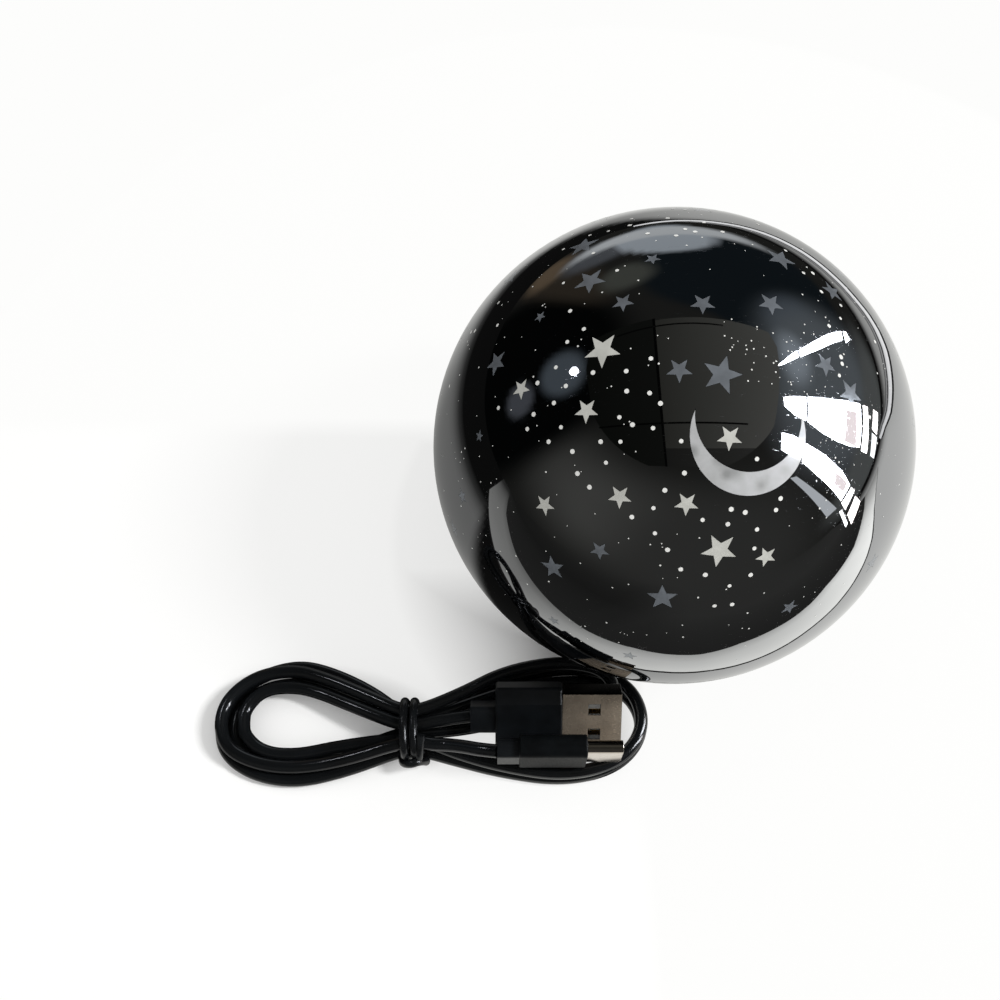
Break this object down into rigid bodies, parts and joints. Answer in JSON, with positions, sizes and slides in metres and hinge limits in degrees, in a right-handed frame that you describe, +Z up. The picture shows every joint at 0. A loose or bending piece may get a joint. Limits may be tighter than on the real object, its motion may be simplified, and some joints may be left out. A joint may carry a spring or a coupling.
{
  "type": "planetarium projector",
  "caption": "Ball-shaped star projector: a glossy black dome with star and moon windows turns on a fixed bowl; a tied USB lead lies beside it.",
  "frame": {"origin": "on the table under the middle of the ball, with the lead left out of the count", "axes": "+Z up from the feet to the top of the dome, -Y the front with the lead, +Y the rear with the socket and the buttons"},
  "size_m": [0.1322, 0.0992, 0.081],
  "materials": {
    "bowl_black": "moulded ABS, high gloss",
    "cover_black": "moulded ABS, fine texture",
    "pad_rubber": "soft rubber",
    "screw_steel": "plated steel",
    "inner_white": "moulded ABS, natural white",
    "washer_white": "acetal",
    "clip_steel": "spring steel",
    "board_white": "white solder mask on aluminium board",
    "led_yellow": "phosphor in a white package",
    "lens_clear": "clear moulded polycarbonate",
    "wire_red": "PVC insulation",
    "board_green": "green solder mask",
    "part_black": "epoxy and nylon component bodies",
    "socket_nickel": "nickel-plated steel",
    "tongue_black": "moulded nylon",
    "motor_steel": "drawn steel can",
    "button_black": "moulded ABS, satin gloss",
    "dome_black": "moulded polystyrene, mirror gloss",
    "window_bright": "clear print window, pale behind the gloss",
    "window_faint": "clear print window over the dark inside",
    "window_moon": "clear print window, pale silver",
    "carrier_black": "moulded ABS",
    "gear_white": "acetal",
    "cable_black": "PVC jacket, satin",
    "tie_black": "plastic-covered wire tie",
    "grip_black": "moulded PVC, satin",
    "plug_nickel": "nickel-plated steel",
    "contact_gold": "gold-plated bronze"
  },
  "bodies": {
    "base": {"base_shell": "bowl_black", "bottom_cover": "cover_black", "foot_pads": "pad_rubber", "cover_screws": "screw_steel", "deck_plate": "inner_white", "deck_screws": "screw_steel", "lamp_post": "inner_white", "post_screws": "screw_steel", "thrust_washer": "washer_white", "retaining_clip": "clip_steel", "lamp_holder": "inner_white", "lamp_board": "board_white", "lamp_leds": "led_yellow", "lamp_lens": "lens_clear", "lamp_wires": "wire_red", "main_board": "board_green", "board_screws": "screw_steel", "board_parts": "part_black", "usb_socket_shell": "socket_nickel", "usb_socket_tongue": "tongue_black", "tact_switches": "part_black", "drive_motor": "motor_steel", "gearbox": "inner_white", "motor_screws": "screw_steel", "motor_wires": "wire_red", "usb_cable_hank": "cable_black", "cable_tie": "tie_black", "cable_tail_a": "cable_black", "cable_tail_c": "cable_black", "usb_a_relief": "cable_black", "usb_a_grip": "grip_black", "usb_a_shell": "plug_nickel", "usb_a_tongue": "tongue_black", "usb_a_contacts": "contact_gold", "usb_c_relief": "cable_black", "usb_c_grip": "grip_black", "usb_c_shell": "plug_nickel", "usb_c_insert": "tongue_black"},
    "light_button": {"light_button": "button_black"},
    "spin_button": {"spin_button": "button_black"},
    "dome": {"star_dome": "dome_black", "bright_star_windows": "window_bright", "faint_star_windows": "window_faint", "moon_window": "window_moon", "dome_carrier": "carrier_black", "ring_gear": "gear_white", "gear_screws": "screw_steel"},
    "pinion": {"drive_pinion": "gear_white", "motor_shaft": "clip_steel"}
  },
  "joints": [
    {"name": "dome_spin", "type": "hinge", "parent": "base", "child": "dome", "pos_m": [0, 0, 0.0285], "axis": [0, 0, 1], "continuous": true},
    {"name": "pinion_spin", "type": "hinge", "parent": "base", "child": "pinion", "pos_m": [-0.01101, -0.01573, 0.0251], "axis": [0, 0, 1], "continuous": true},
    {"name": "light_press", "type": "slide", "parent": "base", "child": "light_button", "axis": [0, -1, 0], "range_m": [0, 0.0005], "stiffness_N_per_m": 400},
    {"name": "spin_press", "type": "slide", "parent": "base", "child": "spin_button", "axis": [0, -1, 0], "range_m": [0, 0.0005], "stiffness_N_per_m": 400}
  ],
  "couplings": [
    {"joint": "pinion_spin", "follows": "dome_spin", "ratio": 5}
  ]
}
